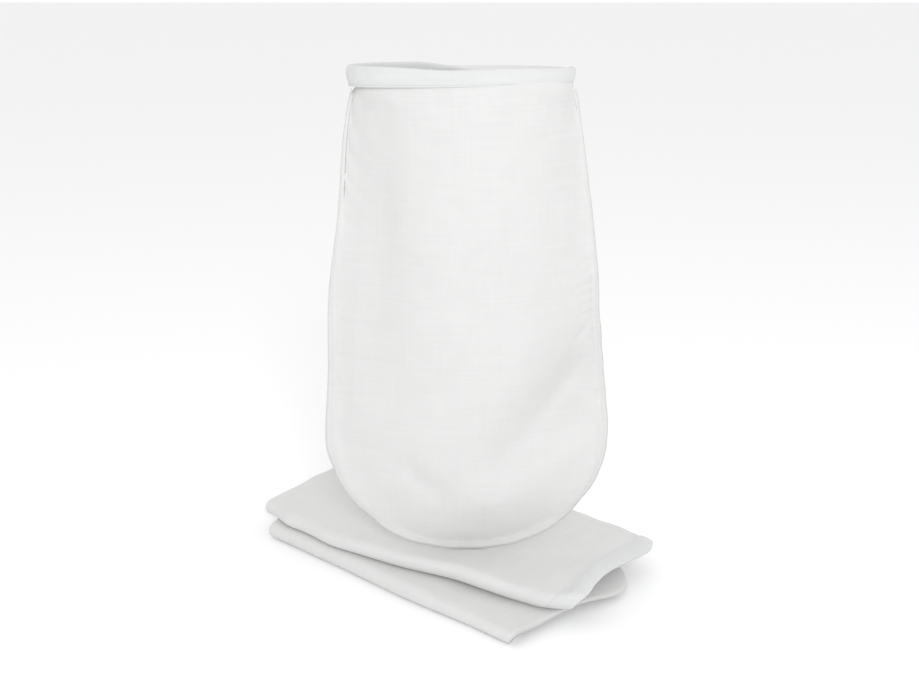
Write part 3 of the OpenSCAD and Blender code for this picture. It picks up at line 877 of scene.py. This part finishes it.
@dataclass
class FoldedBag:
    """A bag folded over at one end and then in half along its length."""

    cut: BagCut
    finishes: Finishes
    name: str
    turn: float
    turned: float
    end: float
    side: float
    off: float
    mouth_right: bool
    lift: float
    seed: int
    pitch: float = 2.9 * MM
    slant: float = 0.2
    front_edge: tuple[tuple[float, float], ...] = ((0, 0), (1, 0))
    back_edge: tuple[tuple[float, float], ...] = ((0, 0), (1, 0))
    right_end: tuple[tuple[float, float], ...] = ((0, 0), (1, 0))
    left_end: tuple[tuple[float, float], ...] = ((0, 0), (1, 0))
    stagger: float = 0.0
    loft: float = 0.0

    @property
    def thick(self) -> float:
        """Thickness of the whole packet: eight plies at their pitch."""
        return 7 * self.pitch + 2 * MM

    @property
    def long_arc(self) -> float:
        """Cloth used by half of the long fold."""
        return 3 * self.pitch * math.pi / 2

    @property
    def end_arc(self) -> float:
        """Cloth used by half of the end fold."""
        return self.pitch * math.pi / 2

    @property
    def ring_l(self) -> float:
        """Middle of the end fold, along the packet."""
        return self.end + self.end_arc - self.cut.length + self.turned

    @property
    def ring_c(self) -> float:
        """Middle of the long fold, across the packet."""
        return self.side + self.thick / 2

    def fold(self, p: np.ndarray, q: np.ndarray, w: np.ndarray) -> np.ndarray:
        """Points of the folded packet, l along it, c across it and z from its middle."""
        p, q, w = np.broadcast_arrays(p, q, w)
        along = self.cut.length - p if self.mouth_right else p
        s_c = q + self.off
        s_l = self.end - along + self.slant * s_c - self.ring_l + self.end_arc
        r = self.pitch + w
        a = math.pi / 2 * np.clip(s_l / self.end_arc, -1, 1)
        past = np.maximum(np.abs(s_l) - self.end_arc, 0)
        along_l = self.ring_l + past - r * np.cos(a)
        rho = 2 * self.pitch + r * np.sin(a)
        b = math.pi / 2 * np.clip(s_c / self.long_arc, -1, 1)
        past = np.maximum(np.abs(s_c) - self.long_arc, 0)
        return np.stack([along_l, self.ring_c + past - rho * np.cos(b), rho * np.sin(b)], -1)

    def rows(self) -> np.ndarray:
        """Fractions that place the sheet's rows: up to -1 the showing part, 1 and past it the turned one."""
        return np.concatenate([np.linspace(-2, -1, 64, endpoint=False), np.linspace(-1, 1, 12, endpoint=False),
                               np.linspace(1, 2, 34)])

    def columns(self) -> np.ndarray:
        """Fractions that place the sheet's columns: -1 to 1 is the long fold."""
        a = np.sin(np.linspace(math.pi / 2, 0, 22, endpoint=False))
        return np.concatenate([-1 - a, np.linspace(-1, 1, 14), 1 + a[::-1]])

    def spread(self, frac: np.ndarray, half: np.ndarray) -> np.ndarray:
        """q at column fractions where the half width is half."""
        left, right = -self.off - self.long_arc, -self.off + self.long_arc
        q = -self.off + self.long_arc * np.clip(frac, -1, 1)
        q = np.where(frac < -1, left - (left + half) * (-1 - frac), q)
        return np.where(frac > 1, right + (half - right) * (frac - 1), q)

    def fold_run(self, q: np.ndarray) -> np.ndarray:
        """Distance from the right-hand end to the middle of the end fold."""
        return self.end + self.slant * (q + self.off) - self.ring_l + self.end_arc

    def cells(self, inset: float) -> tuple[np.ndarray, np.ndarray]:
        """p and q of the sheet's grid, rows by columns, drawn in by inset."""
        cut, rows, cols = self.cut, self.rows()[:, None], self.columns()[None]
        q0 = self.spread(cols, cut.width / 2 - inset)
        low, high = cut.bottom(q0, inset), cut.length - cut.hem + 5 * MM
        start, end = (cut.length - high, cut.length - low) if self.mouth_right else (low, high)
        p0 = cut.length - self.fold_run(q0) if self.mouth_right else self.fold_run(q0)
        mid = self.fold_run(self.spread(cols, cut.half(p0, inset)))
        m = mid + self.end_arc * np.clip(rows, -1, 1)
        m = np.where(rows < -1, start + (mid - self.end_arc - start) * (rows + 2), m)
        m = np.where(rows > 1, mid + self.end_arc + (end - mid - self.end_arc) * (rows - 1), m)
        p = cut.length - m if self.mouth_right else m
        return p, self.spread(cols, cut.half(p, inset))

    # -- how the packet lies --

    def fullness(self, l: np.ndarray, c: np.ndarray) -> np.ndarray:
        """How thick the packet lies at l, c, as a share of its full thickness."""
        away = c - self.side
        lumps = 0.035 * drift(l, c, 0.16, self.seed) + 0.028 * drift(l, c, 0.062, self.seed + 8)
        return 1 - 0.14 * smooth(away, 0.06, 0.20) + lumps

    def lie(self, points: np.ndarray) -> np.ndarray:
        """Settles folded points as limp cloth and puts them in place."""
        l, c, z = points[..., 0], points[..., 1], points[..., 2]
        back = smooth(c - self.side, 0.01, 0.19)
        out = smooth(l, -0.05, self.end)
        moved_l = l + ease(c - self.side, self.right_end) * out + self.stagger * z / self.thick * out
        moved_l = moved_l + ease(c - self.side, self.left_end) * (1 - smooth(l, -0.30, -0.12))
        c = c + ease(l, self.front_edge) * (1 - back) + ease(l, self.back_edge) * back
        c = c + 1.6 * MM * drift(l, 0 * l, 0.12, self.seed + 1) * (1 - 0.6 * back)
        l = moved_l + 1.6 * MM * drift(c, 0 * c, 0.11, self.seed + 2)
        up = (z + self.thick / 2) * self.fullness(l, c)
        a = math.radians(self.turn)
        x, y = l * math.cos(a) - c * math.sin(a), l * math.sin(a) + c * math.cos(a)
        return np.stack([x, y, up + self.base(x, y)], -1)

    def base(self, x: np.ndarray, y: np.ndarray) -> np.ndarray:
        """Height of what the packet lies on."""
        return self.lift + 0 * x

    def placed(self, p: np.ndarray, q: np.ndarray, w: np.ndarray) -> np.ndarray:
        """Points of the finished packet for points of the flat bag."""
        return self.lie(self.fold(p, q, w))

    def build(self) -> None:
        """Makes and dresses every piece of the folded bag."""
        p, q = self.cells(0.0)
        uv = np.stack([q, p], -1)
        half = self.cut.cloth / 2
        for side in Side:
            middle = side.value * self.pitch / 2
            outer, inner = self.placed(p, q, middle + half), self.placed(p, q, middle - half)
            panel = sheet_between(f"{self.name}_{side.name.lower()}_panel_cloth", outer, inner,
                                  not self.mouth_right, self.finishes.filter_cloth, uv)
            dress(panel, self.name, "filter_cloth", f"{self.name}_{side.name.lower()}_panel")
            self.cut.panel_area()
        self.build_seam()
        self.build_hem()

    def build_seam(self) -> None:
        """The stitches that join the panels, on the front panel's outer face of the seam."""
        p, q = self.cells(self.cut.allowance - 2 * MM)
        if self.mouth_right:
            line = np.concatenate([np.stack([p[:, 0], q[:, 0]], -1), np.stack([p[-1], q[-1]], -1)[1:-1],
                                   np.stack([p[::-1, -1], q[::-1, -1]], -1)])
        else:
            line = np.concatenate([np.stack([p[::-1, 0], q[::-1, 0]], -1), np.stack([p[0], q[0]], -1)[1:-1],
                                   np.stack([p[:, -1], q[:, -1]], -1)])
        line = line[line[:, 0] < self.cut.length - self.cut.hem - 2 * MM]
        out = self.pitch / 2 + self.cut.cloth / 2 + 0.10 * MM
        path = self.placed(line[:, 0], line[:, 1], np.full(len(line), out))
        stitches = Stitching().sew(f"{self.name}_seam_stitches", path, False, self.finishes.thread)
        dress(stitches, self.name, "thread", f"{self.name}_seam_thread")

    def mouth_round(self) -> np.ndarray:
        """q, w and their outward direction once round the mouth, front layer first."""
        edge = self.cut.mouth / 2 - 3 * MM
        mid = self.pitch / 2
        q = self.spread(self.columns(), np.full(len(self.columns()), edge))
        q = np.interp(np.linspace(0, 1, 220), np.linspace(0, 1, len(q)), q)
        zero, one = np.zeros_like(q), np.ones_like(q)
        caps = []
        for sign, start in ((1, math.pi / 2), (-1, -math.pi / 2)):
            a = start - np.linspace(0, math.pi, 9)[1:-1]
            caps.append(np.stack([sign * edge + mid * np.cos(a), mid * np.sin(a), np.cos(a), np.sin(a)], -1))
        front = np.stack([q, mid * one, zero, one], -1)
        back = np.stack([q[::-1], -mid * one, zero, -one], -1)
        return np.concatenate([front, caps[0], back, caps[1]])

    def sweep(self, section: np.ndarray, swell: float) -> np.ndarray:
        """A section of outward and mouthward offsets, swept round the folded mouth."""
        track = self.mouth_round()
        p = self.cut.length - self.cut.hem + section[None, :, 1]
        arc = np.concatenate([[0], np.cumsum(np.abs(np.diff(track[:, 0])) + np.abs(np.diff(track[:, 1])))])
        full = smooth(section[:, 1], 3 * MM, 12 * MM)
        grow = 1 + swell * full[None] * drift(arc[:, None], section[None, :, 1] * 0.4, 24 * MM, self.seed + 5)
        top = smooth((track[:, 0] + self.off) / self.long_arc, 0.2, 1.2) * (track[:, 3] > 0.5)
        loft = self.loft * top[:, None] * full[None] * (section[None, :, 0] > 0)
        s = section[None, :, 0] * grow + loft * np.clip(section[None, :, 0] / (1.3 * MM), 0, 1)
        return self.placed(p, track[:, :1] + s * track[:, 2:3], track[:, 1:2] + s * track[:, 3:4])

    def build_hem(self) -> None:
        """The casing, its elastic and its line of stitches."""
        h = self.cut.hem / MM
        outer = [[1.10, 0], [1.34, 1.2], [0.92, 3.6], [1.25, 6], [1.38, 11], [1.38, 17], [1.25, 22],
                 [0.95, h - 2.2], [0.5, h - 0.6]]
        section = np.array([*outer, [0, h], *[[-min(s, 1.2), t] for s, t in outer[::-1]]]) * MM
        ring = self.sweep(section, 0.10)
        arc = np.concatenate([[0], np.cumsum(np.linalg.norm(np.diff(ring[:, 0], axis=0), axis=1))])
        girth = np.concatenate([[0], np.cumsum(np.linalg.norm(np.diff(section, axis=0), axis=1))])
        uv = np.stack(np.broadcast_arrays(arc[:, None], girth[None]), -1)
        casing = ring_between(f"{self.name}_hem_casing_cloth", ring, self.finishes.hem_cloth, True, uv)
        dress(casing, self.name, "hem_cloth", f"{self.name}_hem_casing")
        band = np.array([[0.2, 12], [0.2, 22], [-0.2, 22], [-0.2, 12]]) * MM
        strip = self.sweep(band, 0.0)
        elastic = ring_between(f"{self.name}_hem_elastic_band", strip, self.finishes.elastic, True,
                               np.zeros((*strip.shape[:2], 2)))
        dress(elastic, self.name, "elastic", f"{self.name}_hem_elastic")
        line = self.sweep(np.array([[1.04, 3.6]]) * MM, 0.0)[:, 0]
        stitches = Stitching().sew(f"{self.name}_hem_stitches", line, True, self.finishes.thread)
        dress(stitches, self.name, "thread", f"{self.name}_hem_thread")


@dataclass
class LowerBag(FoldedBag):
    """The folded bag on the floor, its front corner pressed thin."""

    def fullness(self, l: np.ndarray, c: np.ndarray) -> np.ndarray:
        """How thick the packet lies at l, c; the corner that nothing holds down is thinnest."""
        away = c - self.side
        tip = smooth(l, 0.08, 0.13) * (1 - smooth(away, 0.012, 0.04))
        corner = smooth(l, -0.02, 0.13) * (1 - smooth(away, 0.03, 0.16)) - 0.35 * tip
        end = smooth(l, 0.135, 0.215) * smooth(away, 0.08, 0.18)
        return super().fullness(l, c) - 0.36 * corner - 0.55 * end


@dataclass
class UpperBag(FoldedBag):
    """The folded bag that lies on another one and follows its top."""

    under: FoldedBag | None = None

    def base(self, x: np.ndarray, y: np.ndarray) -> np.ndarray:
        """Height of the lower packet's top under each point."""
        a = math.radians(self.under.turn)
        l, c = x * math.cos(a) + y * math.sin(a), -x * math.sin(a) + y * math.cos(a)
        c = np.clip(c, self.under.side, self.under.side + 0.21)
        top = self.under.thick * self.under.fullness(l, c) + 0.35 * MM
        b = math.radians(self.turn)
        own_l, own_c = x * math.cos(b) + y * math.sin(b), -x * math.sin(b) + y * math.cos(b)
        edge = 1 - smooth(own_c - self.side, -0.02, 0.06)
        gape = 5.0 * MM * np.exp(-(((own_l - 0.04) / 0.05) ** 2)) * edge
        away = own_c - self.side - 27 * MM
        arch = 7.5 * MM * smooth(away, 0.008, 0.035) * (1 - smooth(away, 0.07, 0.15))
        return top + gape + arch * smooth(own_l, 0.09, 0.17)


# ---- studio ----


@dataclass
class Studio:
    """Plain pale floor, soft light and the camera."""

    finishes: Finishes
    camera_place: tuple[float, float, float] = (-0.008, -1.195, 0.702)
    camera_down: float = 18.2
    lens: float = 41.5
    key_power: float = 58.0
    dim: float = 0.66

    def build(self) -> None:
        """Makes the floor, the lights, the world and the camera."""
        self.add_floor()
        self.add_light("key_light", (0.36, -3.25, 2.05), (0.0, 0.0, 0.30), 1.1, self.key_power,
                       (0.985, 0.99, 1.0))
        world = bpy.context.scene.world or bpy.data.worlds.new("World")
        bpy.context.scene.world = world
        world.use_nodes = True
        self.light_world(world.node_tree)
        bpy.context.scene.view_settings.view_transform = "Standard"
        camera = bpy.data.cameras.new("camera")
        camera.lens = self.lens
        camera.sensor_width = 36
        eye = bpy.data.objects.new("camera", camera)
        eye.location = self.camera_place
        eye.rotation_euler = (math.radians(90 - self.camera_down), 0, 0)
        bpy.context.scene.collection.objects.link(eye)
        bpy.context.scene.camera = eye

    def light_world(self, tree: bpy.types.NodeTree) -> None:
        """White surroundings, dimmer in front of the bags than behind them."""
        back = tree.nodes["Background"]
        back.inputs["Color"].default_value = (1, 1, 1, 1)
        place, split = tree.nodes.new("ShaderNodeTexCoord"), tree.nodes.new("ShaderNodeSeparateXYZ")
        fade = tree.nodes.new("ShaderNodeMapRange")
        for name, value in zip(("From Min", "From Max", "To Min", "To Max"), (-0.6, 0.5, self.dim, 1.0)):
            fade.inputs[name].default_value = value
        high = tree.nodes.new("ShaderNodeMath")
        high.operation = "MULTIPLY_ADD"
        high.inputs[1].default_value = 0.7
        tree.links.new(place.outputs["Generated"], split.inputs[0])
        tree.links.new(split.outputs["Z"], high.inputs[0])
        tree.links.new(split.outputs["Y"], high.inputs[2])
        tree.links.new(high.outputs[0], fade.inputs["Value"])
        tree.links.new(fade.outputs["Result"], back.inputs["Strength"])

    def add_floor(self) -> None:
        """A wide pale floor at z = 0."""
        reach = 900.0
        corners = np.array([[-reach, -reach, 0], [reach, -reach, 0], [reach, reach, 0], [-reach, reach, 0]])
        floor = new_mesh("floor", corners, [(0, 1, 2, 3)], self.finishes.floor)

    def add_light(self, name: str, place: tuple[float, float, float], aim: tuple[float, float, float],
                  size: float, power: float, colour: tuple[float, float, float]) -> None:
        """One square area light that points at aim."""
        lamp = bpy.data.lights.new(name, "AREA")
        lamp.size, lamp.energy, lamp.color = size, power, colour
        obj = bpy.data.objects.new(name, lamp)
        obj.location = place
        obj.rotation_euler = (Vector(place) - Vector(aim)).to_track_quat("Z", "Y").to_euler()
        bpy.context.scene.collection.objects.link(obj)


def main() -> None:
    """Builds the set of bags and the studio."""
    logging.basicConfig(level=logging.INFO, format="%(message)s")
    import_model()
    finishes = Finishes()
    cut = BagCut()
    lower = LowerBag(cut, finishes, "lower", turn=-36, turned=206 * MM, end=126 * MM, side=-92 * MM,
                     off=48 * MM, mouth_right=False, lift=0.0, seed=71,
                     front_edge=((-290, 22), (-175, 15), (-24, 4), (125, -1)),
                     back_edge=((-290, 0), (125, 0)), right_end=((0, 2), (90, 6), (190, 34)),
                     left_end=((0, -6), (60, -13)), stagger=4 * MM)
    upper = UpperBag(cut, finishes, "upper", turn=-32.5, turned=158 * MM, end=146 * MM, side=-46 * MM,
                     off=29 * MM, mouth_right=True, lift=22.6 * MM, seed=90, under=lower,
                     front_edge=((-300, 8), (-240, -8), (-163, -18), (-60, -12), (30, -3), (100, 8), (165, 26)),
                     back_edge=((-300, 0), (-60, 14), (50, 40), (110, 34), (165, 27)),
                     right_end=((0, 20), (60, 12), (160, 5), (205, -12)), stagger=12 * MM, loft=2.6 * MM)
    lower.build()
    upper.build()
    OpenBag(cut, finishes).build()
    Studio(finishes).build()


if __name__ == "__main__":
    main()
